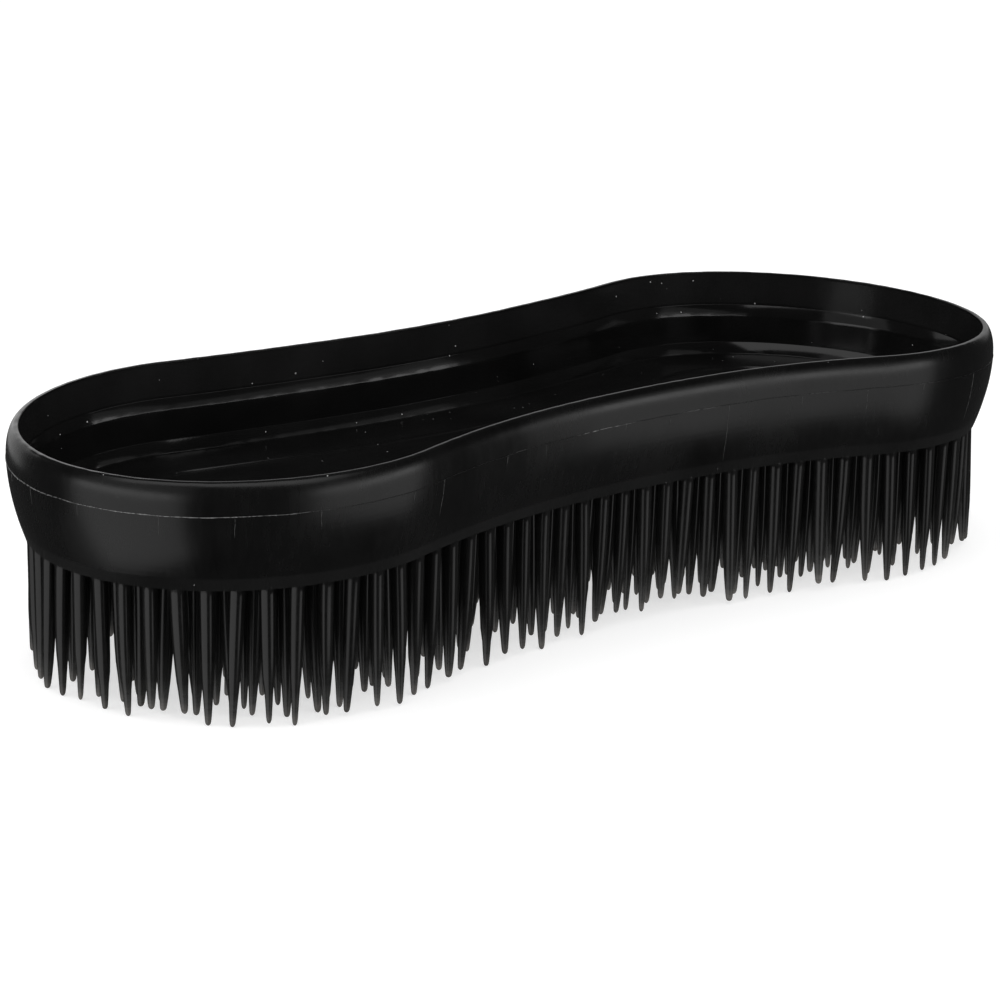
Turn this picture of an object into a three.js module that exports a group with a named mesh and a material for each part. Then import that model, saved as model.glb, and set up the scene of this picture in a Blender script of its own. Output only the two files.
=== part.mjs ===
// A horse grooming brush: one figure-of-eight tray with a rounded rim and a stepped floor, and concentric
// rings of tapered bristles that hang from its underside.
// Frame: millimetres, +X along the brush, +Z up from the bristle tips to the rim. The origin is in the
// middle of the footprint, on the plane of the bristle tips.
import * as THREE from "three";

// Driving dimensions.
const LENGTH = 170; // over the widest line of the wall, where the two mould halves met
const LOBE_RADIUS = 32.8; // each rounded end
const WAIST_RADIUS = 153; // the hollow sides between the ends
const BRISTLE_LENGTH = 19.5; // at the middle of the brush
const WALL_HEIGHT = 15.5; // from the underside to the crest of the rim
const PARTING_HEIGHT = 11.1; // of the widest line, above the underside
const FOOT_INSET = 2.5; // of the wall's lower edge, from the widest line
const SHOULDER_WIDTH = 1.35; // of the elliptical curve from the wall up to the rim's crest
const SHOULDER_HEIGHT = 3.8;
const RIM_INSET = 1.8; // of the rim's inner edge
const RIM_RADIUS = 0.2; // of that edge
const CROWN_DROP = 2.2; // of the two ends below the middle, which makes the brush gently arched
const CROWN_FLAT = 18; // half-length of the straight stretch in the middle
const CROWN_POWER = 1.7;

// The floor inside the wall goes down in terraces. Each begins at a corner with the surface above it, and
// bulges down to a steeper side, which runs to the next corner. The leans are the angles in degrees between
// the vertical and the surface, where the bulge starts and where it ends.
const TERRACES = [
  { inset: 2, height: 10.15, radius: 10.8, startLean: 24, endLean: 14.5 },
  { inset: 3.1, height: 4.13, radius: 9, startLean: 31, endLean: 18 },
  { inset: 13.2, height: 2.4, radius: 1.5, startLean: 40, endLean: 22 },
];
const FLOOR_HEIGHT = 2; // of the flat middle panel, above the underside
const FLOOR_INSET = 13.7;

// Bristles. A ring is a thin web along its own inset outline, with one bristle at each step.
const ROOT_WIDTH = 1.9;
const SHANK_WIDTH = 1.5; // where the slight taper of the shank ends and the point begins
const SHANK_SHARE = 0.8; // of the bristle's length
const TIP_WIDTH = 0.75;
const BRISTLE_STEP = 4.03; // between neighbours along a ring
const RING_STEP = 3.9; // between one ring and the next
const RING_SHIFT = 0.75; // of a ring's bristles against those of the ring outside it, in bristle steps
const FIRST_RING_INSET = FOOT_INSET + ROOT_WIDTH / 2 + 0.3;
const FULL_RINGS = 6; // the rings that go round the whole figure of eight
const INNER_END_RADIUS = 1.2; // the narrow end of the pear-shaped ring inside each end
const CORE_RADIUS = 2; // of the three bristles in the middle of each end
const WEB_THICKNESS = 0.8;
const GAP = 0.3; // between the webs and the tray

// Facets.
const LOBE_STEPS = 28;
const WAIST_STEPS = 12;
const CURVE_STEPS = 3;

const LOBE_X = LENGTH / 2 - LOBE_RADIUS;
const WAIST_Y = Math.sqrt((LOBE_RADIUS + WAIST_RADIUS) ** 2 - LOBE_X ** 2);
const TANGENT_ANGLE = Math.atan2(WAIST_Y, LOBE_X);

const trayMaterial = new THREE.MeshStandardMaterial({ color: 0x0c0c0d, roughness: 0.35, metalness: 0 });
const bristleMaterial = new THREE.MeshStandardMaterial({ color: 0x17181a, roughness: 0.5, metalness: 0 });

// How far the arched brush drops at x.
function crown(x) {
  const along = Math.max(0, Math.abs(x) - CROWN_FLAT) / (LENGTH / 2 - CROWN_FLAT);
  return CROWN_DROP * along ** CROWN_POWER;
}

function arc(x, y, radius, start, end) {
  return new THREE.EllipseCurve(x, y, radius, radius, start, end, end < start);
}

// The five arcs of the outline, anticlockwise from its +X end, all moved inwards by inset.
function outlineArcs(inset) {
  const lobe = LOBE_RADIUS - inset;
  const waist = WAIST_RADIUS + inset;
  const turn = Math.PI - TANGENT_ANGLE;
  return [
    arc(LOBE_X, 0, lobe, 0, turn),
    arc(0, WAIST_Y, waist, -TANGENT_ANGLE, -turn),
    arc(-LOBE_X, 0, lobe, TANGENT_ANGLE, TANGENT_ANGLE + 2 * turn),
    arc(0, -WAIST_Y, waist, turn, TANGENT_ANGLE),
    arc(LOBE_X, 0, lobe, -turn, 0),
  ];
}

// The four arcs of the pear-shaped outline at +X or -X (side 1 or -1), where the waist is too narrow for a
// ring that goes round both ends. Its narrow end touches both waist arcs.
function pearArcs(inset, side) {
  const lobe = LOBE_RADIUS - inset;
  const waist = WAIST_RADIUS + inset;
  const endX = Math.sqrt((waist + INNER_END_RADIUS) ** 2 - WAIST_Y ** 2);
  const endAngle = Math.atan2(WAIST_Y, endX);
  const turn = Math.PI - TANGENT_ANGLE;
  const endTurn = Math.PI - endAngle;
  if (side > 0) {
    return [
      arc(LOBE_X, 0, lobe, -turn, turn),
      arc(0, WAIST_Y, waist, -TANGENT_ANGLE, -endAngle),
      arc(endX, 0, INNER_END_RADIUS, endTurn, 2 * Math.PI - endTurn),
      arc(0, -WAIST_Y, waist, endAngle, TANGENT_ANGLE),
    ];
  }
  return [
    arc(-LOBE_X, 0, lobe, TANGENT_ANGLE, TANGENT_ANGLE + 2 * turn),
    arc(0, -WAIST_Y, waist, turn, endTurn),
    arc(-endX, 0, INNER_END_RADIUS, -endAngle, endAngle),
    arc(0, WAIST_Y, waist, -endTurn, -turn),
  ];
}

// One closed loop of points at a height above the underside. Point i mirrors point (count - i) about X.
function outlineLoop(inset, height) {
  const steps = [LOBE_STEPS / 2, WAIST_STEPS, LOBE_STEPS, WAIST_STEPS, LOBE_STEPS / 2];
  const loop = [];
  outlineArcs(inset).forEach((curve, piece) => {
    for (let step = 0; step < steps[piece]; step++) {
      const point = curve.getPoint(step / steps[piece]);
      loop.push(new THREE.Vector3(point.x, point.y, BRISTLE_LENGTH + height - crown(point.x)));
    }
  });
  return loop;
}

// The section of the tray as points (inset, height): up the outside, over the rim and down the terraces.
function traySection() {
  const foot = WEB_THICKNESS + GAP;
  const path = new THREE.Path();
  path.moveTo(FOOT_INSET + 1, foot);
  path.lineTo(FOOT_INSET - 0.3, foot);
  path.quadraticCurveTo(0.3, PARTING_HEIGHT / 2, 0, PARTING_HEIGHT);
  path.lineTo(0, WALL_HEIGHT - SHOULDER_HEIGHT);
  path.absellipse(
    SHOULDER_WIDTH,
    WALL_HEIGHT - SHOULDER_HEIGHT,
    SHOULDER_WIDTH,
    SHOULDER_HEIGHT,
    Math.PI,
    Math.PI / 2,
    true,
  );
  path.lineTo(RIM_INSET - RIM_RADIUS, WALL_HEIGHT);
  path.lineTo(RIM_INSET, WALL_HEIGHT - RIM_RADIUS);
  for (const { inset, height, radius, startLean, endLean } of TERRACES) {
    const start = THREE.MathUtils.degToRad(startLean);
    const end = THREE.MathUtils.degToRad(endLean);
    path.lineTo(inset, height);
    const centre = [inset - radius * Math.cos(start), height - radius * Math.sin(start)];
    path.absarc(...centre, radius, start, end, true);
  }
  path.lineTo(FLOOR_INSET, FLOOR_HEIGHT);
  return path.getPoints(CURVE_STEPS);
}

// Turns points and faces (lists of three or four point numbers) into a flat-shaded geometry.
function solid(points, faces) {
  const corners = [];
  for (const [first, ...rest] of faces) {
    for (let i = 0; i + 1 < rest.length; i++) {
      corners.push(points[first], points[rest[i]], points[rest[i + 1]]);
    }
  }
  const geometry = new THREE.BufferGeometry().setFromPoints(corners);
  geometry.computeVertexNormals();
  return geometry;
}

// A cap across a loop that is its own mirror image about X, facing up.
function capFaces(count) {
  const faces = [];
  for (let i = 0; i < count / 2; i++) {
    const below = (count - i) % count;
    const cap = [i, i + 1, count - i - 1, below];
    faces.push(cap.filter((corner, at) => cap.indexOf(corner) === at));
  }
  return faces;
}

// The tray: loops of the outline joined along the section, closed by the underside and the floor panel.
function tray() {
  const loops = traySection().map((point) => outlineLoop(point.x, point.y));
  const count = loops[0].length;
  const faces = capFaces(count).map((face) => face.reverse());
  for (let row = 0; row + 1 < loops.length; row++) {
    for (let i = 0; i < count; i++) {
      const next = (i + 1) % count;
      const low = row * count;
      const high = low + count;
      faces.push([low + i, low + next, high + next, high + i]);
    }
  }
  const last = (loops.length - 1) * count;
  faces.push(...capFaces(count).map((face) => face.map((corner) => corner + last)));
  return solid(loops.flat(), faces);
}

// A ring of bristles along a closed anticlockwise curve, moved on by shift steps. The web has two stations to
// a bristle, one at each side of its root, and each station has four corners: outer bottom, inner bottom,
// inner top, outer top.
function bristleRing(curve, shift) {
  const count = Math.round(curve.getLength() / BRISTLE_STEP);
  const halfRoot = ROOT_WIDTH / 2 / curve.getLength();
  const points = [];
  const faces = [];
  const corner = (at, tangent, side, z) =>
    new THREE.Vector3(at.x + tangent.y * side, at.y - tangent.x * side, z);
  for (let bristle = 0; bristle < count; bristle++) {
    const middle = (bristle + 0.5 + (shift % 1)) / count;
    for (const t of [(middle - halfRoot) % 1, (middle + halfRoot) % 1]) {
      const at = curve.getPoint(t);
      const tangent = curve.getTangent(t);
      const underside = BRISTLE_LENGTH - crown(at.x);
      for (const [side, z] of [[1, 0], [-1, 0], [-1, WEB_THICKNESS], [1, WEB_THICKNESS]]) {
        points.push(corner(at, tangent, (side * ROOT_WIDTH) / 2, underside + z));
      }
    }
  }
  const stations = points.length / 4;
  for (let bristle = 0; bristle < count; bristle++) {
    const here = bristle * 8;
    const end = here + 4;
    const next = (((bristle + 1) * 2) % stations) * 4;
    for (const [from, to] of [[here, end], [end, next]]) {
      faces.push([from, to, to + 3, from + 3]); // outer side
      faces.push([from + 2, from + 3, to + 3, to + 2]); // top
      faces.push([from + 1, from + 2, to + 2, to + 1]); // inner side
    }
    faces.push([end, end + 1, next + 1, next]); // bottom of the web between two bristles
    const shank = points.length;
    const tip = shank + 4;
    const root = [here, end, end + 1, here + 1];
    const centre = root.reduce((sum, at) => sum.add(points[at]), new THREE.Vector3()).divideScalar(4);
    for (const [width, share] of [[SHANK_WIDTH, SHANK_SHARE], [TIP_WIDTH, 1]]) {
      for (const at of root) {
        const narrowed = points[at].clone().lerp(centre, 1 - width / ROOT_WIDTH);
        points.push(narrowed.setZ(points[at].z * (1 - share)));
      }
    }
    for (let side = 0; side < 4; side++) {
      const after = (side + 1) % 4;
      faces.push([root[after], root[side], shank + side, shank + after]);
      faces.push([shank + after, shank + side, tip + side, tip + after]);
    }
    faces.push([tip + 3, tip + 2, tip + 1, tip]);
  }
  return solid(points, faces);
}

function curvePath(curves) {
  const path = new THREE.CurvePath();
  curves.forEach((curve) => path.add(curve));
  return path;
}

function piece(name, geometry, material) {
  const mesh = new THREE.Mesh(geometry, material);
  mesh.name = name;
  return mesh;
}

const brush = new THREE.Group();
brush.add(piece("tray_body", tray(), trayMaterial));

for (let ring = 0; ring < FULL_RINGS; ring++) {
  const curve = curvePath(outlineArcs(FIRST_RING_INSET + ring * RING_STEP));
  brush.add(piece(`bristle_ring_${ring + 1}`, bristleRing(curve, ring * RING_SHIFT), bristleMaterial));
}

// Inside the last full ring each end has a pear-shaped ring and a core of its own.
for (const [name, side] of [["left", -1], ["right", 1]]) {
  const pear = curvePath(pearArcs(FIRST_RING_INSET + FULL_RINGS * RING_STEP, side));
  const circle = curvePath([arc(side * LOBE_X, 0, CORE_RADIUS, 0, 2 * Math.PI)]);
  brush.add(piece(`bristle_inner_ring_${name}`, bristleRing(pear, 0), bristleMaterial));
  brush.add(piece(`bristle_core_${name}`, bristleRing(circle, 0), bristleMaterial));
}

export default brush;
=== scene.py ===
"""Looks of the grooming brush: a moulded black tray with its flash and witness lines, and rings of bristles.

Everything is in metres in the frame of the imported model: +X along the brush, +Z up, bristle tips at z = 0.
Sizes that the frame holds are measured from its nodes. The rest are named below in millimetres.
"""
import math
import random

import bpy
import numpy as np
from mathutils import Matrix, Vector, noise


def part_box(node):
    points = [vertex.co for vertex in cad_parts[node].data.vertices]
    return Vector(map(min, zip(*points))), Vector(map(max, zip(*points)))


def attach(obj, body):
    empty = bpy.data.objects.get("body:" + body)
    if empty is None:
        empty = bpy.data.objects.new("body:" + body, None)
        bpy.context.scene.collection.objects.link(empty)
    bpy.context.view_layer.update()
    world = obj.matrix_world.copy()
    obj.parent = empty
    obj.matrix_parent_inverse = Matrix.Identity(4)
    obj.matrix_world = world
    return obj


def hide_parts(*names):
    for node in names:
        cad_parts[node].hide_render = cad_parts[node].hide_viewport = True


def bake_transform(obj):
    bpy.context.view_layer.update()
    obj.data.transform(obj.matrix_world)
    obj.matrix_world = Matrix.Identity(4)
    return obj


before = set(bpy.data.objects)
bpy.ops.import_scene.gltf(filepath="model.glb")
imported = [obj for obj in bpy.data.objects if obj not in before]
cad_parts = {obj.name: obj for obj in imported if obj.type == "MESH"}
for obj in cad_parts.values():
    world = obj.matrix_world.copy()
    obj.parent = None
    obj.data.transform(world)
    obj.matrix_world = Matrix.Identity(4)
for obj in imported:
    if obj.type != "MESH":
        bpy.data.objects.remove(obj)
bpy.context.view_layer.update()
MM = 0.001

# ---------------------------------------------------------------- sizes

# The section of the tray, all in millimetres from the widest line inwards and from the underside up.
FOOT_INSET = 2.5
FOOT_ROUND = 0.5
PARTING_HEIGHT = 11.1
WALL_HEIGHT = 15.5
LOWER_WALL_BELLY = (0.3, PARTING_HEIGHT / 2)
SHOULDER_WIDTH = 1.35
SHOULDER_HEIGHT = 3.8
RIM_INSET = 1.8
RIM_ROUND = 0.12
# Each terrace: inset and height of its corner, radius of its bulge, and how far the bulge leans back
# where it starts and where it ends, in degrees.
TERRACES = ((2.0, 10.15, 10.8, 24, 14.5), (3.1, 4.13, 9.0, 31, 18), (13.2, 2.4, 1.5, 40, 22))
CORNER_ROUND = 0.2
FLOOR_HEIGHT = 2.0
FLOOR_INSET = 13.7

# The arch of the brush: straight in the middle, dropping towards both ends.
CROWN_DROP = 2.2
CROWN_FLAT = 18.0
CROWN_POWER = 1.7

# The bristles.
ROOT_WIDTH = 1.9
ROOT_SUNK = 0.8  # into the tray, above its underside
BRISTLE_STEP = 4.03
RING_STEP = 3.9
RING_SHIFT = 0.75  # of a ring's bristles against those of the ring outside it, in steps
FULL_RINGS = 6
FIRST_RING_INSET = FOOT_INSET + ROOT_WIDTH / 2 + 0.3
INNER_END_RADIUS = 1.2
CORE_RADIUS = 2.0
WEB_THICKNESS = 0.8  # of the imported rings, from the underside up
TIP_FOLLOWS_ARCH = 0.5  # share of the arch's drop that the tips at the ends follow
LONGEST_BELOW = 1.3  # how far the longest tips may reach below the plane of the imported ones
BRISTLE_FACE = 203  # degrees anticlockwise from +X: the way one of the four flattened sides faces
BRISTLE_SQUARENESS = 4.0  # 2 is a round bristle, more is squarer

# How single bristles differ, as shares of what they are on average where nothing else is said.
LENGTH_SHARES = (0.91, 1.1, 1.04)  # shortest, longest, likeliest
WIDTH_SHARES = (0.96, 1.08)
LEAN_SPREAD = 0.35  # mm at the tip
BEND_SPREAD = 0.3  # mm at the tip
TWIST_SPREAD = 5  # degrees
SHIFT_FROM = 0.5  # share of the length from where the taper may come earlier or later
POINT_SHIFTS = (-0.05, 0.04)
POINT_FROM = 0.75  # share of the length from where the point may be thinner or thicker
POINT_WIDTH_SHARES = (0.8, 1.05)

# What the moulding left behind: waves in the skin, ragged edges, the fin on the parting line and the
# witness lines that run down from it.
SKIN_WAVE = 0.014
SKIN_WAVE_SIZE = 6.0
EDGE_WAVE = 0.1
EDGE_WAVE_SIZE = 1.6
EDGE_REACH = 0.35
RIM_WAVE = 0.03
RIM_WAVE_DEPTH = 0.2
FLASH_SUNK = 0.15
FLASH_THICKNESS = 0.13
FLASH_PROUD = 0.07
FLASH_HEAVY_PROUD = 0.12
FLASH_HEAVY_AT = 222.0  # along the outline from its +X end
FLASH_HEAVY_REACH = 27.0
FLASH_PATCH_SIZE = 14
FLASH_LUMP_SIZE = 0.9
FLASH_GRAIN_SIZE = 0.35
FLASH_WANDER = 0.12
FLASH_WANDER_SIZE = 5
WITNESS_STEP = 11.2
WITNESS_WIDTH = 0.16
WITNESS_PROUD = 0.06
WITNESS_SUNK = 0.08
WITNESS_SHORT_SHARE = 0.85
WITNESS_SHORT_REACH = (1.2, 3.0)
WITNESS_LONG_REACH = (4, 9)
WITNESS_WHITE = 0.25

# Each part of the tray: how glossy it is from 0 to 1, and how much painted fill light lifts its black colour.
OUTSIDE_GLOSS_AND_PAINTED_FILL = (0.0, 0.0)
INNER_WALL_GLOSS_AND_PAINTED_FILL = (0.7, 0.0065)
TERRACE_GLOSS_AND_PAINTED_FILL = (1.0, 0.0025)
FLOOR_GLOSS_AND_PAINTED_FILL = (0.6, 0.0025)
RIM_GLOSS_DEPTH = 0.15

# Mesh density.
STATIONS = 880  # round the tray
FLASH_STATIONS = 1760
WALL_STEPS = 12
SHOULDER_STEPS = 15
BULGE_STEPS = 14
FILLET_STEPS = 6
LONGEST_PIECE = 0.45  # of the tray's section
CAP_STEPS = 12  # across the brush
BRISTLE_SIDES = 16

# Colours are shares of the light that is scattered. Noise scales are per metre.
CLOUD_SCALE = 70
SCRATCH_SCALE = 1500
SCRATCH_STRETCH = (1, 1, 0.12)
GRAIN_SCALE = 3500
TORN_SCALE = 2200
RIB_SCALE = 260
RIB_STRETCH = (0.8, 0.8, 16)
TRAY_BLACK = (0.0005, 0.0018)
WALL_ROUGHNESS = (0.2, 0.32)
TERRACE_ROUGHNESS = (0.08, 0.15)
DUST_SCALE = 850
DUST_FROM = 0.8  # the part of the cells without dust
DUST_RADIUS = 0.11  # of the largest speck, in cells
DUST_WHITE = (0.01, 0.4)  # on the outside and on the terraces
FLASH_BLACK = 0.003
FLASH_WHITE = (0.02, 0.2)
FLASH_ROUGHNESS = (0.25, 0.6)
BRISTLE_ROOT_BLACK = (0.002, 0.002, 0.002, 1)
BRISTLE_TIP_GREY = (0.085, 0.08, 0.075, 1)
BRISTLE_BLACKS = ((0.5, 0.0025), (0.75, 0.006), (0.9, 0.024))  # share of the length and colour
BRISTLE_WARMTH = 0.97  # blue against red and green
BRISTLE_ROUGHNESS = (0.17, 0.27)
BRISTLE_SPECULAR = 0.6

# The studio. Angles are in degrees: azimuth 0 is -Y and 90 is +X.
FLOOR_HALF_WIDTH = 3.0  # metres
FLOOR_GREY = 0.5
FLOOR_GLOW = 0.62
BACKDROP_REFLECTED = 0.5
DARK_REFLECTED = 0.035
OVERHEAD_SIZE = (0.5, 0.2)  # metres
OVERHEAD_AZIMUTH = -58
OVERHEAD_ELEVATION = 62
OVERHEAD_DISTANCE = 0.33  # metres
CAMERA_AZIMUTH = -40.8
CAMERA_ELEVATION = 16.0
CAMERA_ROLL = 1.1
CAMERA_DISTANCE = 0.5832  # metres
CAMERA_TARGET = (-10.7, -6.8, -3.1)  # mm, from the middle of the underside
CAMERA_LENS = 144.6


def outline_sizes():
    """Half-length, lobe radius, waist radius and height of the underside, in mm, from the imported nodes."""
    low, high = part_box("tray_body")
    half_length = (high.x - low.x) / 2 / MM
    lobe = (high.y - low.y) / 2 / MM
    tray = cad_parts["tray_body"].data.vertices
    waist_half = max(abs(v.co.y) for v in tray if abs(v.co.x) < MM) / MM
    lobe_x = half_length - lobe
    waist = (lobe_x**2 + waist_half**2 - lobe**2) / (2 * (lobe - waist_half))
    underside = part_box("bristle_ring_6")[1].z / MM - WEB_THICKNESS
    return half_length, lobe, waist, underside


HALF_LENGTH, LOBE_RADIUS, WAIST_RADIUS, UNDERSIDE = outline_sizes()
LOBE_X = HALF_LENGTH - LOBE_RADIUS
WAIST_Y = math.sqrt((LOBE_RADIUS + WAIST_RADIUS) ** 2 - LOBE_X**2)
TANGENT_ANGLE = math.atan2(WAIST_Y, LOBE_X)


# ---------------------------------------------------------------- outline


def crown(x):
    """How far the arched brush drops at x."""
    along = np.maximum(0, np.abs(x) - CROWN_FLAT) / (HALF_LENGTH - CROWN_FLAT)
    return CROWN_DROP * along**CROWN_POWER


def outline_arcs(inset):
    """The five arcs of the outline, anticlockwise from its +X end: centre, radius, start and end angle."""
    lobe = LOBE_RADIUS - inset
    waist = WAIST_RADIUS + inset
    turn = math.pi - TANGENT_ANGLE
    return [
        (LOBE_X, 0, lobe, 0, turn),
        (0, WAIST_Y, waist, -TANGENT_ANGLE, -turn),
        (-LOBE_X, 0, lobe, TANGENT_ANGLE, TANGENT_ANGLE + 2 * turn),
        (0, -WAIST_Y, waist, turn, TANGENT_ANGLE),
        (LOBE_X, 0, lobe, -turn, 0),
    ]


def pear_arcs(inset, side):
    """The arcs of the pear-shaped ring inside the +X or -X end."""
    lobe = LOBE_RADIUS - inset
    waist = WAIST_RADIUS + inset
    end_x = math.sqrt((waist + INNER_END_RADIUS) ** 2 - WAIST_Y**2)
    end_angle = math.atan2(WAIST_Y, end_x)
    turn = math.pi - TANGENT_ANGLE
    end_turn = math.pi - end_angle
    if side > 0:
        return [
            (LOBE_X, 0, lobe, -turn, turn),
            (0, WAIST_Y, waist, -TANGENT_ANGLE, -end_angle),
            (end_x, 0, INNER_END_RADIUS, end_turn, 2 * math.pi - end_turn),
            (0, -WAIST_Y, waist, end_angle, TANGENT_ANGLE),
        ]
    return [
        (-LOBE_X, 0, lobe, TANGENT_ANGLE, TANGENT_ANGLE + 2 * turn),
        (0, -WAIST_Y, waist, turn, end_turn),
        (-end_x, 0, INNER_END_RADIUS, -end_angle, end_angle),
        (0, WAIST_Y, waist, -end_turn, -turn),
    ]


def walk(arcs, distances):
    """Points and outward normals at distances along a list of arcs."""
    lengths = [abs(end - start) * radius for _, _, radius, start, end in arcs]
    total = sum(lengths)
    points, normals = [], []
    for distance in distances:
        left = distance % total
        for (x, y, radius, start, end), length in zip(arcs, lengths):
            if left <= length:
                break
            left -= length
        angle = start + (end - start) * min(1.0, left / length)
        outward = 1 if end > start else -1
        direction = np.array((math.cos(angle), math.sin(angle)))
        points.append(np.array((x, y)) + radius * direction)
        normals.append(outward * direction)
    return np.array(points), np.array(normals)


def arcs_length(arcs):
    """The length of a list of arcs."""
    return sum(abs(end - start) * radius for _, _, radius, start, end in arcs)


# ---------------------------------------------------------------- section


def rounded(corners):
    """A polyline through (x, y, radius) corners, each corner turned by an arc of its radius."""
    line = [np.array(corners[0][:2], float)]
    for before, corner, after in zip(corners, corners[1:], corners[2:]):
        here = np.array(corner[:2], float)
        radius = corner[2]
        if radius == 0:
            line.append(here)
            continue
        back = np.array(before[:2]) - here
        on = np.array(after[:2]) - here
        back /= np.linalg.norm(back)
        on /= np.linalg.norm(on)
        half = math.acos(np.clip(back @ on, -1, 1)) / 2
        reach = radius / math.tan(half)
        centre = here + (back + on) / np.linalg.norm(back + on) * radius / math.sin(half)
        first, last = here + back * reach - centre, here + on * reach - centre
        sweep = math.atan2(first[0] * last[1] - first[1] * last[0], first @ last)
        for step in range(FILLET_STEPS + 1):
            turn = sweep * step / FILLET_STEPS
            cos, sin = math.cos(turn), math.sin(turn)
            line.append(centre + np.array((first[0] * cos - first[1] * sin, first[0] * sin + first[1] * cos)))
    line.append(np.array(corners[-1][:2], float))
    return line


def spread(line, step):
    """Adds points to a polyline so that none of its pieces is longer than step."""
    fine = [line[0]]
    for start, end in zip(line, line[1:]):
        pieces = max(1, math.ceil(np.linalg.norm(end - start) / step))
        fine += [start + (end - start) * (i + 1) / pieces for i in range(pieces)]
    return fine


def bulge(inset, height, radius, lean_start, lean_end):
    """The rounded edge of a terrace, from its corner with the wall above down to where it turns steep."""
    line = []
    start, end = math.radians(lean_start), math.radians(lean_end)
    for i in range(1, BULGE_STEPS + 1):
        lean = start + (end - start) * i / BULGE_STEPS
        x = inset + radius * (math.cos(lean) - math.cos(start))
        line.append((x, height - radius * (math.sin(start) - math.sin(lean)), 0))
    return line


def tray_section():
    """Points (inset, height) of the tray's section, up the outside, over the rim and down the terraces."""
    lower = []
    foot = np.array((FOOT_INSET, 0.0))
    belly = np.array(LOWER_WALL_BELLY)
    widest = np.array((0.0, PARTING_HEIGHT))
    for i in range(1, WALL_STEPS + 1):
        t = i / WALL_STEPS
        lower.append((1 - t) ** 2 * foot + 2 * t * (1 - t) * belly + t * t * widest)
    shoulder = []
    for i in range(SHOULDER_STEPS):
        turn = math.pi / 2 * i / SHOULDER_STEPS
        across = SHOULDER_WIDTH * (1 - math.cos(turn))
        shoulder.append(np.array((across, WALL_HEIGHT - SHOULDER_HEIGHT * (1 - math.sin(turn)))))
    inside = [(SHOULDER_WIDTH, WALL_HEIGHT, 0), (RIM_INSET, WALL_HEIGHT, RIM_ROUND)]
    for inset, height, radius, lean_start, lean_end in TERRACES:
        inside.append((inset, height, CORNER_ROUND))
        inside += bulge(inset, height, radius, lean_start, lean_end)
    inside += [(FLOOR_INSET, FLOOR_HEIGHT, CORNER_ROUND), (FLOOR_INSET + 0.5, FLOOR_HEIGHT, 0)]
    under = rounded([(FOOT_INSET + 1.5, 0, 0), (FOOT_INSET, 0, FOOT_ROUND), tuple(lower[0]) + (0,)])[:-1]
    return spread(under + lower + shoulder + rounded(inside), LONGEST_PIECE)


# ---------------------------------------------------------------- meshes


def make_object(name, points, faces, material):
    """A smooth-shaded mesh object from points in millimetres."""
    mesh = bpy.data.meshes.new(name)
    mesh.from_pydata([tuple(p) for p in np.asarray(points) * MM], [], faces)
    mesh.polygons.foreach_set("use_smooth", [True] * len(mesh.polygons))
    mesh.materials.append(material)
    mesh.update()
    made = bpy.data.objects.new(name, mesh)
    bpy.context.scene.collection.objects.link(made)
    return made


def add_values(made, title, values):
    """Stores one number for each vertex, which a material can read."""
    layer = made.data.attributes.new(title, "FLOAT", "POINT")
    layer.data.foreach_set("value", values)


def ripple(point, size, strength, seed):
    """A smooth random offset, for surfaces that are never quite true."""
    return strength * noise.noise(Vector((point[0] / size, point[1] / size, point[2] / size + seed)))


def raggedness(inset, height):
    """How strongly the moulding waves at a point of its section: at the rim and where the bulges end."""
    if height > WALL_HEIGHT - RIM_WAVE_DEPTH:
        return RIM_WAVE
    ends = [bulge(*terrace)[-1] for terrace in TERRACES[:2]]
    nearest = min(math.hypot(inset - x, height - y) for x, y, _ in ends)
    return EDGE_WAVE * math.exp(-((nearest / EDGE_REACH) ** 2))


def gloss_and_painted_fill_at(inset, height):
    """How glossy the tray is at a point of its section, and how much painted fill light lifts its black
    colour there.
    """
    if height > WALL_HEIGHT - RIM_GLOSS_DEPTH:
        return TERRACE_GLOSS_AND_PAINTED_FILL
    if inset < RIM_INSET:
        return OUTSIDE_GLOSS_AND_PAINTED_FILL
    if height > TERRACES[0][1] + 0.1:
        return INNER_WALL_GLOSS_AND_PAINTED_FILL
    return TERRACE_GLOSS_AND_PAINTED_FILL if inset < TERRACES[1][0] + 1 else FLOOR_GLOSS_AND_PAINTED_FILL


def tray_shell(material):
    """The whole tray as one closed skin, with its gloss in "polish" and, in a second attribute, painted fill
    light that lifts its black on the inside.
    """
    arcs = outline_arcs(0)
    distances = [arcs_length(arcs) * i / STATIONS for i in range(STATIONS)]
    line, normal = walk(arcs, distances)
    points, faces, glosses_and_painted_fills = [], [], []
    for inset, height in tray_section():
        edge = raggedness(inset, height)
        for (x, y), (out_x, out_y) in zip(line, normal):
            here = (x - out_x * inset, y - out_y * inset, height)
            skin = ripple(here, SKIN_WAVE_SIZE, SKIN_WAVE, 0)
            up = UNDERSIDE + height - crown(here[0]) + ripple(here, EDGE_WAVE_SIZE, edge, 7)
            points.append(np.array((here[0] + out_x * skin, here[1] + out_y * skin, up)))
        glosses_and_painted_fills += [gloss_and_painted_fill_at(inset, height)] * STATIONS
    rows = len(points) // STATIONS
    for row in range(rows - 1):
        low, high = row * STATIONS, (row + 1) * STATIONS
        for i in range(STATIONS):
            j = (i + 1) % STATIONS
            faces.append((low + i, low + j, high + j, high + i))
    add_cap(points, faces, 0, False)
    add_cap(points, faces, (rows - 1) * STATIONS, True)
    shell = make_object("tray_shell", points, faces, material)
    glosses_and_painted_fills += [FLOOR_GLOSS_AND_PAINTED_FILL] * (len(points) - len(glosses_and_painted_fills))
    add_values(shell, "polish", [polish for polish, _ in glosses_and_painted_fills])
    add_values(shell, "painted_fill", [painted_fill for _, painted_fill in glosses_and_painted_fills])
    return shell


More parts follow.
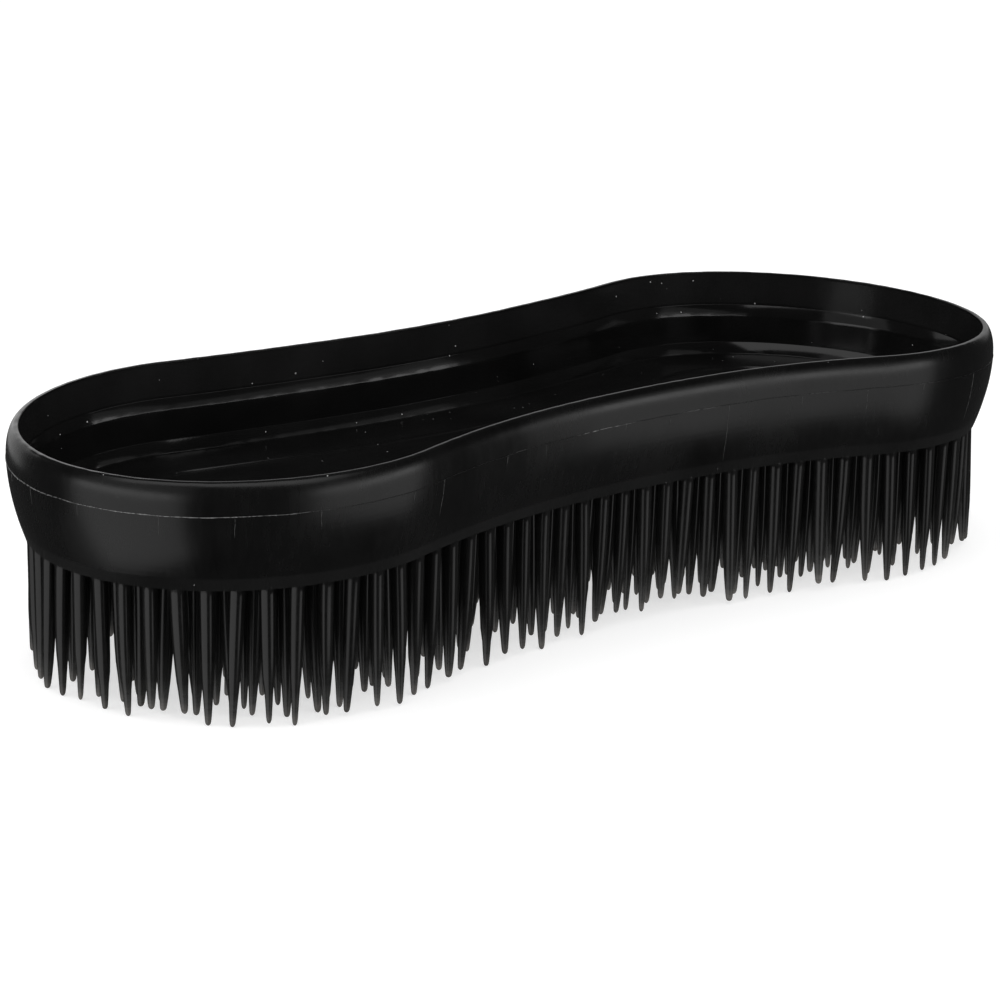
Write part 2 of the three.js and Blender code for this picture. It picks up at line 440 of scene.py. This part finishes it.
def add_cap(points, faces, first, upward):
    """Closes a loop that is its own mirror image about X with strips across the brush."""
    columns = []
    for i in range(STATIONS // 2 + 1):
        top = first + i
        bottom = first + (STATIONS - i) % STATIONS
        if top == bottom:
            columns.append([top])
            continue
        column = [top]
        for step in range(1, CAP_STEPS):
            share = step / CAP_STEPS
            points.append(points[top] * (1 - share) + points[bottom] * share)
            column.append(len(points) - 1)
        columns.append(column + [bottom])
    for left, right in zip(columns, columns[1:]):
        for step in range(CAP_STEPS):
            a = left[min(step, len(left) - 1)]
            b = left[min(step + 1, len(left) - 1)]
            c = right[min(step + 1, len(right) - 1)]
            d = right[min(step, len(right) - 1)]
            face = tuple(dict.fromkeys((a, d, c, b)))
            faces.append(face if upward else face[::-1])


def tube(points, faces, loops, closed):
    """Adds a tube through loops of points, either closed on itself or with a cap at each end."""
    first = len(points)
    sides = len(loops[0])
    for loop in loops:
        points += loop
    for row in range(len(loops) if closed else len(loops) - 1):
        low = first + row * sides
        high = first + (row + 1) % len(loops) * sides
        for side in range(sides):
            after = (side + 1) % sides
            faces.append((low + side, high + side, high + after, low + after))
    if not closed:
        last = first + (len(loops) - 1) * sides
        faces.append(tuple(last + sides - 1 - side for side in range(sides)))
        faces.append(tuple(first + side for side in range(sides)))


def flash_line(material):
    """The thin ragged fin that the joint of the mould halves left round the widest line of the tray."""
    arcs = outline_arcs(0)
    length = arcs_length(arcs)
    distances = [length * i / FLASH_STATIONS for i in range(FLASH_STATIONS)]
    line, normal = walk(arcs, distances)
    loops, white = [], []
    for (x, y), (out_x, out_y), distance in zip(line, normal, distances):
        here = (x, y, 0)
        heavy = math.sqrt(max(0.0, 1 - abs(distance - FLASH_HEAVY_AT) / FLASH_HEAVY_REACH))
        patch = max(0.0, ripple(here, FLASH_PATCH_SIZE, 1.6, 8))
        lumps = max(0.0, ripple(here, FLASH_LUMP_SIZE, 1, 3) + ripple(here, FLASH_GRAIN_SIZE, 0.3, 4))
        proud = FLASH_PROUD * (0.7 + patch * lumps) + FLASH_HEAVY_PROUD * heavy * (0.3 + 1.6 * lumps)
        wander = ripple(here, FLASH_WANDER_SIZE, FLASH_WANDER, 5)
        middle = UNDERSIDE + PARTING_HEIGHT - crown(x) + wander
        half = FLASH_THICKNESS / 2 * (1 + 0.8 * lumps)
        section = ((-FLASH_SUNK, -half), (proud, -half / 2), (proud, half / 2), (-FLASH_SUNK, half))
        loops.append([(x + out_x * reach, y + out_y * reach, middle + rise) for reach, rise in section])
        white += [min(1.0, heavy + 0.9 * patch)] * len(section)
    points, faces = [], []
    tube(points, faces, loops, True)
    fin = make_object("tray_flash_line", points, faces, material)
    add_values(fin, "white", white)
    return fin


def lower_wall(height):
    """Inset of the outer wall's surface at a height below its widest line."""
    low, high = 0.0, 1.0
    for _ in range(20):
        t = (low + high) / 2
        at = 2 * t * (1 - t) * LOWER_WALL_BELLY[1] + t**2 * PARTING_HEIGHT
        low, high = (t, high) if at < height else (low, t)
    return (1 - t) ** 2 * FOOT_INSET + 2 * t * (1 - t) * LOWER_WALL_BELLY[0]


def witness_lines(material, draw):
    """Thin ridges down the outer wall from the parting line, one at each step along the outline."""
    arcs = outline_arcs(0)
    length = arcs_length(arcs)
    count = round(length / WITNESS_STEP)
    points, faces = [], []
    for number in range(count):
        at = length * (number + 0.5 * draw.random()) / count
        reaches = WITNESS_SHORT_REACH if draw.random() < WITNESS_SHORT_SHARE else WITNESS_LONG_REACH
        reach = draw.uniform(*reaches)
        sweep = draw.gauss(0, 0.06) * reach
        width = WITNESS_WIDTH * draw.uniform(0.7, 1.3) / 2
        steps = max(4, round(reach / 0.4))
        loops = []
        for step in range(steps + 1):
            share = step / steps
            height = PARTING_HEIGHT - 0.1 - reach * share
            centre = at + sweep * share * share + ripple((at, share * reach, 0), 1.5, 0.12, 6)
            fade = 1 - 0.85 * share**3
            line, normal = walk(arcs, [centre - width, centre, centre + width])
            inset = lower_wall(height)
            loop = []
            ridge = (-WITNESS_SUNK, WITNESS_PROUD * fade, -WITNESS_SUNK)
            for (x, y), (out_x, out_y), proud in zip(line, normal, ridge):
                depth = inset - proud
                x, y = x - out_x * depth, y - out_y * depth
                loop.append((x, y, UNDERSIDE + height - crown(x)))
            loops.append(loop)
        tube(points, faces, loops, False)
    ridges = make_object("tray_witness_lines", points, faces, material)
    add_values(ridges, "white", [WITNESS_WHITE] * len(points))
    return ridges


# ---------------------------------------------------------------- bristles


def bristle_profile():
    """Stations down one bristle: share of its length and width in mm."""
    sunk = -ROOT_SUNK / UNDERSIDE
    return (
        (sunk, 1.25 * ROOT_WIDTH),
        (0.0, 1.14 * ROOT_WIDTH),
        (0.012, 1.04 * ROOT_WIDTH),
        (0.035, ROOT_WIDTH),
        (0.2, 1.84),
        (0.4, 1.76),
        (0.56, 1.64),
        (0.68, 1.48),
        (0.78, 1.28),
        (0.86, 1.08),
        (0.92, 0.93),
        (0.96, 0.82),
        (0.982, 0.7),
        (0.994, 0.5),
        (1.0, 0.22),
    )


def squared(angle):
    """Radius of a rounded square of half-width 1 at an angle from one of its faces."""
    power = BRISTLE_SQUARENESS
    return (abs(math.cos(angle)) ** power + abs(math.sin(angle)) ** power) ** (-1 / power)


def bristle_ring(name, arcs, shift, material, draw):
    """All bristles of one ring as one mesh, with each one's length, lean, bend and tone drawn at random."""
    length = arcs_length(arcs)
    count = round(length / BRISTLE_STEP)
    roots, _ = walk(arcs, [length * (i + 0.5 + shift % 1) / count for i in range(count)])
    profile = bristle_profile()
    points, faces, along, tone = [], [], [], []
    for root in roots:
        drop = crown(root[0])
        top = UNDERSIDE - drop
        reach = (UNDERSIDE - TIP_FOLLOWS_ARCH * drop) * draw.triangular(*LENGTH_SHARES)
        reach = min(reach, top + LONGEST_BELOW)
        lean = np.array((draw.gauss(0, LEAN_SPREAD), draw.gauss(0, LEAN_SPREAD)))
        bend = np.array((draw.gauss(0, BEND_SPREAD), draw.gauss(0, BEND_SPREAD)))
        width = draw.uniform(*WIDTH_SHARES) / 2
        point_shift = draw.uniform(*POINT_SHIFTS)
        point_width = draw.uniform(*POINT_WIDTH_SHARES)
        shade = draw.random()
        turn = math.radians(BRISTLE_FACE + draw.gauss(0, TWIST_SPREAD))
        loops = []
        for share, size in profile:
            if share > POINT_FROM:
                size *= point_width
            if share > SHIFT_FROM:
                share += point_shift * min(1, 8 * (1 - share))  # fades out, so that the tip keeps its place
            visible = max(0.0, share)
            centre = root + lean * visible + bend * visible**2
            loop = []
            for side in range(BRISTLE_SIDES):
                angle = math.tau * side / BRISTLE_SIDES
                radius = width * size * squared(angle)
                x = centre[0] + radius * math.cos(angle + turn)
                y = centre[1] + radius * math.sin(angle + turn)
                loop.append((x, y, top - reach * share))
            loops.append(loop)
            along += [visible] * BRISTLE_SIDES
            tone += [shade] * BRISTLE_SIDES
        tube(points, faces, loops, False)
    ring = make_object(name, points, faces, material)
    add_values(ring, "along", along)
    add_values(ring, "tone", tone)
    return ring


# ---------------------------------------------------------------- materials


def new_material(name):
    """A material, with its nodes, links and main shader."""
    material = bpy.data.materials.new(name)
    material.use_nodes = True
    nodes = material.node_tree.nodes
    return material, nodes, material.node_tree.links, nodes["Principled BSDF"]


def noise_node(nodes, links, scale, detail, stretch=(1, 1, 1)):
    """A noise texture over the object's own coordinates, in metres."""
    where = nodes.new("ShaderNodeTexCoord")
    place = nodes.new("ShaderNodeMapping")
    place.inputs["Scale"].default_value = stretch
    links.new(where.outputs["Object"], place.inputs["Vector"])
    made = nodes.new("ShaderNodeTexNoise")
    made.inputs["Scale"].default_value = scale
    made.inputs["Detail"].default_value = detail
    links.new(place.outputs["Vector"], made.inputs["Vector"])
    return made.outputs["Fac"]


def ranged(nodes, links, value, low, high, to_low, to_high, smooth=False):
    """Maps low..high of a value to to_low..to_high, in a straight line or a smooth step."""
    made = nodes.new("ShaderNodeMapRange")
    if smooth:
        made.interpolation_type = "SMOOTHSTEP"
    for title, number in zip(("From Min", "From Max", "To Min", "To Max"), (low, high, to_low, to_high)):
        made.inputs[title].default_value = number
    links.new(value, made.inputs["Value"])
    return made.outputs["Result"]


def calculated(nodes, links, operation, first, second):
    """One sum on two values, each an output or a number."""
    made = nodes.new("ShaderNodeMath")
    made.operation = operation
    for socket, value in zip(made.inputs, (first, second)):
        if isinstance(value, (int, float)):
            socket.default_value = value
        else:
            links.new(value, socket)
    return made.outputs["Value"]


def attribute(nodes, title):
    """The number that each vertex holds under a title."""
    made = nodes.new("ShaderNodeAttribute")
    made.attribute_name = title
    return made.outputs["Fac"]


def bumped(nodes, links, height, distance, strength, before=None):
    """A bump of a given depth in metres, on top of an earlier one."""
    made = nodes.new("ShaderNodeBump")
    made.inputs["Distance"].default_value = distance
    made.inputs["Strength"].default_value = strength
    links.new(height, made.inputs["Height"])
    if before is not None:
        links.new(before, made.inputs["Normal"])
    return made.outputs["Normal"]


def dust(nodes, links):
    """1 on sparse specks of dust a few tenths of a millimetre across, and 0 elsewhere."""
    where = nodes.new("ShaderNodeTexCoord")
    cells = nodes.new("ShaderNodeTexVoronoi")
    cells.inputs["Scale"].default_value = DUST_SCALE
    links.new(where.outputs["Object"], cells.inputs["Vector"])
    parts = nodes.new("ShaderNodeSeparateColor")
    links.new(cells.outputs["Color"], parts.inputs["Color"])
    size = ranged(nodes, links, parts.outputs["Red"], DUST_FROM, 1, 0, DUST_RADIUS)
    return calculated(nodes, links, "LESS_THAN", cells.outputs["Distance"], size)


def tray_material():
    """Black plastic: glossy and dusty on the terraces, worn on the walls, with fine upright scratches, and
    painted fill light that lifts its black on the inside.
    """
    material, nodes, links, shader = new_material("black_moulded_plastic")
    polish = attribute(nodes, "polish")
    cloud = noise_node(nodes, links, CLOUD_SCALE, 5)
    scratches = noise_node(nodes, links, SCRATCH_SCALE, 2, SCRATCH_STRETCH)
    grain = noise_node(nodes, links, GRAIN_SCALE, 2)
    wear = calculated(nodes, links, "ADD", ranged(nodes, links, scratches, 0.4, 0.7, 0, 0.12), cloud)
    rough = nodes.new("ShaderNodeMix")
    links.new(polish, rough.inputs["Factor"])
    links.new(ranged(nodes, links, wear, 0.35, 0.8, *WALL_ROUGHNESS), rough.inputs["A"])
    links.new(ranged(nodes, links, cloud, 0.3, 0.7, *TERRACE_ROUGHNESS), rough.inputs["B"])
    links.new(rough.outputs["Result"], shader.inputs["Roughness"])
    # Painted light: the tray's second attribute, made uneven by the cloud, is added to the black base colour
    # and brightens the inside, most on the inner wall.
    uneven = ranged(nodes, links, cloud, 0.3, 0.7, 0.8, 1.2)
    painted_fill = calculated(nodes, links, "MULTIPLY", attribute(nodes, "painted_fill"), uneven)
    black = calculated(nodes, links, "ADD", ranged(nodes, links, wear, 0.3, 0.8, *TRAY_BLACK), painted_fill)
    dust_white = ranged(nodes, links, polish, 0, 1, *DUST_WHITE)
    specks = calculated(nodes, links, "MULTIPLY", dust(nodes, links), dust_white)
    links.new(calculated(nodes, links, "ADD", black, specks), shader.inputs["Base Color"])
    skin = bumped(nodes, links, grain, 0.00001, 0.35)
    links.new(bumped(nodes, links, scratches, 0.000003, 0.3, skin), shader.inputs["Normal"])
    return material


def flash_material():
    """The thin fin and ridges, which are whitened where they are thick or torn."""
    material, nodes, links, shader = new_material("whitened_plastic_edge")
    torn = noise_node(nodes, links, TORN_SCALE, 3)
    pale = ranged(nodes, links, torn, 0.35, 0.7, *FLASH_WHITE)
    whitened = calculated(nodes, links, "MULTIPLY", pale, attribute(nodes, "white"))
    links.new(calculated(nodes, links, "ADD", whitened, FLASH_BLACK), shader.inputs["Base Color"])
    links.new(ranged(nodes, links, torn, 0.4, 0.7, *FLASH_ROUGHNESS), shader.inputs["Roughness"])
    return material


def bristle_material():
    """Charcoal plastic with fine ribs across each bristle, thinner and paler towards the tip."""
    material, nodes, links, shader = new_material("charcoal_bristle_plastic")
    along = attribute(nodes, "along")
    ribs = noise_node(nodes, links, RIB_SCALE, 2, RIB_STRETCH)
    ramp = nodes.new("ShaderNodeValToRGB")
    ramp.color_ramp.elements[0].color = BRISTLE_ROOT_BLACK
    ramp.color_ramp.elements[1].color = BRISTLE_TIP_GREY
    for place, value in BRISTLE_BLACKS:
        ramp.color_ramp.elements.new(place).color = (value, value, value * BRISTLE_WARMTH, 1)
    links.new(along, ramp.inputs["Fac"])
    tone = ranged(nodes, links, attribute(nodes, "tone"), 0, 1, 0.6, 1.4)
    shade = calculated(nodes, links, "MULTIPLY", tone, ranged(nodes, links, ribs, 0.3, 0.7, 0.8, 1.2))
    toned = nodes.new("ShaderNodeVectorMath")
    toned.operation = "SCALE"
    links.new(ramp.outputs["Color"], toned.inputs[0])
    links.new(shade, toned.inputs["Scale"])
    links.new(toned.outputs["Vector"], shader.inputs["Base Color"])
    links.new(ranged(nodes, links, ribs, 0.3, 0.7, *BRISTLE_ROUGHNESS), shader.inputs["Roughness"])
    shader.inputs["Specular IOR Level"].default_value = BRISTLE_SPECULAR
    links.new(bumped(nodes, links, ribs, 0.00001, 0.4), shader.inputs["Normal"])
    return material


# ---------------------------------------------------------------- studio


def direction(azimuth, elevation):
    """Unit vector from the object: azimuth 0 is -Y and 90 is +X."""
    a, e = math.radians(azimuth), math.radians(elevation)
    return Vector((math.sin(a) * math.cos(e), -math.cos(a) * math.cos(e), math.sin(e)))


def area_light(name, size, radiance, location, towards):
    """A rectangular light of a size in metres and a brightness, which shines against a direction."""
    data = bpy.data.lights.new(name, "AREA")
    data.shape = "RECTANGLE"
    data.size, data.size_y = size
    data.energy = radiance * math.pi * data.size * data.size_y
    light = bpy.data.objects.new(name, data)
    light.location = location
    light.rotation_mode = "QUATERNION"
    light.rotation_quaternion = towards.to_track_quat("Z", "Y")
    bpy.context.scene.collection.objects.link(light)


def softbox(name, centre, facing, width, bottom, top, radiance):
    """An upright light. Its centre is (x, y), its sides are in mm from the middle of the underside."""
    location = Vector((centre[0], centre[1], UNDERSIDE + (top + bottom) / 2)) * MM
    area_light(name, (width * MM, (top - bottom) * MM), radiance, location, direction(facing, 0))


def lights():
    """A softbox on the left and one on the right, each brighter at object height, and two fill lights."""
    softbox("left_softbox", (-372, 16), -94, 346, -310, 84, 0.66)
    softbox("left_softbox_core", (-370, 30), -94, 300, 25, 84, 0.8)
    softbox("left_softbox_top", (-372, 16), -94, 346, 84, 300, 0.28)
    softbox("right_softbox", (64, -279), 29, 344, -135, 70, 0.6)
    softbox("right_softbox_core", (64, -277), 29, 330, 30, 74, 1.15)
    softbox("right_softbox_middle", (64, -279), 29, 344, 70, 95, 0.4)
    softbox("right_softbox_top", (64, -279), 29, 344, 95, 135, 0.2)
    softbox("back_softbox", (13, 380), 178, 340, -60, 210, 0.5)
    overhead = direction(OVERHEAD_AZIMUTH, OVERHEAD_ELEVATION)
    area_light("overhead_light", OVERHEAD_SIZE, 1.0, overhead * OVERHEAD_DISTANCE, overhead)


def floor_material():
    """Pale grey with a glow that keeps shadows faint, and clear from below."""
    material, nodes, links, shader = new_material("pale_floor")
    shader.inputs["Base Color"].default_value = (FLOOR_GREY, FLOOR_GREY, FLOOR_GREY, 1)
    shader.inputs["Roughness"].default_value = 0.9
    shader.inputs["Emission Color"].default_value = (1, 1, 1, 1)
    shader.inputs["Emission Strength"].default_value = FLOOR_GLOW
    side = nodes.new("ShaderNodeNewGeometry")
    clear = nodes.new("ShaderNodeBsdfTransparent")
    mix = nodes.new("ShaderNodeMixShader")
    links.new(side.outputs["Backfacing"], mix.inputs["Fac"])
    links.new(shader.outputs["BSDF"], mix.inputs[1])
    links.new(clear.outputs["BSDF"], mix.inputs[2])
    links.new(mix.outputs["Shader"], nodes["Material Output"].inputs["Surface"])
    return material


def floor():
    """A plain floor under the longest bristles. It isn't mirrored in the plastic."""
    half = FLOOR_HALF_WIDTH
    corners = [(-half, -half, 0), (half, -half, 0), (half, half, 0), (-half, half, 0)]
    mesh = bpy.data.meshes.new("floor")
    mesh.from_pydata(corners, [], [(0, 1, 2, 3)])
    mesh.materials.append(floor_material())
    made = bpy.data.objects.new("floor", mesh)
    made.location.z = -LONGEST_BELOW * MM
    made.visible_glossy = False
    made.visible_shadow = False
    bpy.context.scene.collection.objects.link(made)


def backdrop():
    """A white room. In reflections only the strip behind the object is bright, and the rest is dark."""
    world = bpy.data.worlds.new("studio")
    bpy.context.scene.world = world
    world.use_nodes = True
    nodes, links = world.node_tree.nodes, world.node_tree.links
    white = nodes["Background"]
    white.inputs["Color"].default_value = (1, 1, 1, 1)
    where = nodes.new("ShaderNodeTexCoord")
    parts = nodes.new("ShaderNodeSeparateXYZ")
    links.new(where.outputs["Generated"], parts.inputs["Vector"])
    behind = nodes.new("ShaderNodeVectorMath")
    behind.operation = "DOT_PRODUCT"
    behind.inputs[1].default_value = -direction(CAMERA_AZIMUTH, 0)
    links.new(where.outputs["Generated"], behind.inputs[0])
    above = ranged(nodes, links, parts.outputs["Z"], -0.06, 0.02, 0, 1, smooth=True)
    below = ranged(nodes, links, parts.outputs["Z"], 0.3, 0.42, 1, 0, smooth=True)
    across = ranged(nodes, links, behind.outputs["Value"], 0.75, 0.93, 0, BACKDROP_REFLECTED, smooth=True)
    band = calculated(nodes, links, "MULTIPLY", above, below)
    strip = calculated(nodes, links, "MULTIPLY", band, across)
    reflected = nodes.new("ShaderNodeBackground")
    links.new(calculated(nodes, links, "ADD", strip, DARK_REFLECTED), reflected.inputs["Strength"])
    path = nodes.new("ShaderNodeLightPath")
    mix = nodes.new("ShaderNodeMixShader")
    links.new(path.outputs["Is Glossy Ray"], mix.inputs["Fac"])
    links.new(white.outputs["Background"], mix.inputs[1])
    links.new(reflected.outputs["Background"], mix.inputs[2])
    links.new(mix.outputs["Shader"], nodes["World Output"].inputs["Surface"])


def camera():
    """The camera, a little above the rim on the -X and -Y side."""
    data = bpy.data.cameras.new("camera")
    data.lens = CAMERA_LENS
    data.sensor_width = 36
    made = bpy.data.objects.new("camera", data)
    back = direction(CAMERA_AZIMUTH, CAMERA_ELEVATION)
    target = (Vector(CAMERA_TARGET) + Vector((0, 0, UNDERSIDE))) * MM
    look = back.to_track_quat("Z", "Y").to_matrix().to_4x4()
    roll = Matrix.Rotation(math.radians(CAMERA_ROLL), 4, "Z")
    made.matrix_world = Matrix.Translation(target + back * CAMERA_DISTANCE) @ look @ roll
    bpy.context.scene.collection.objects.link(made)
    bpy.context.scene.camera = made


# ---------------------------------------------------------------- the brush

plastic = tray_material()
whitened_plastic = flash_material()
bristle_plastic = bristle_material()

tray = tray_shell(plastic)
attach(tray, "tray")
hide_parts("tray_body")

draw = random.Random(4)
for detail in (flash_line(whitened_plastic), witness_lines(whitened_plastic, random.Random(11))):
    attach(detail, "tray")

rings = {}
for number in range(FULL_RINGS):
    arcs = outline_arcs(FIRST_RING_INSET + number * RING_STEP)
    rings[f"bristle_ring_{number + 1}"] = (arcs, number * RING_SHIFT)
for side, x in (("left", -1), ("right", 1)):
    rings[f"bristle_inner_ring_{side}"] = (pear_arcs(FIRST_RING_INSET + FULL_RINGS * RING_STEP, x), 0)
    rings[f"bristle_core_{side}"] = ([(x * LOBE_X, 0, CORE_RADIUS, 0, math.tau)], 0)
for node, (arcs, shift) in rings.items():
    ring = bristle_ring(node.replace("bristle", "bristles"), arcs, shift, bristle_plastic, draw)
    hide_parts(node)
    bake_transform(ring)

floor()
lights()
backdrop()
camera()
bpy.context.scene.view_settings.view_transform = "Standard"
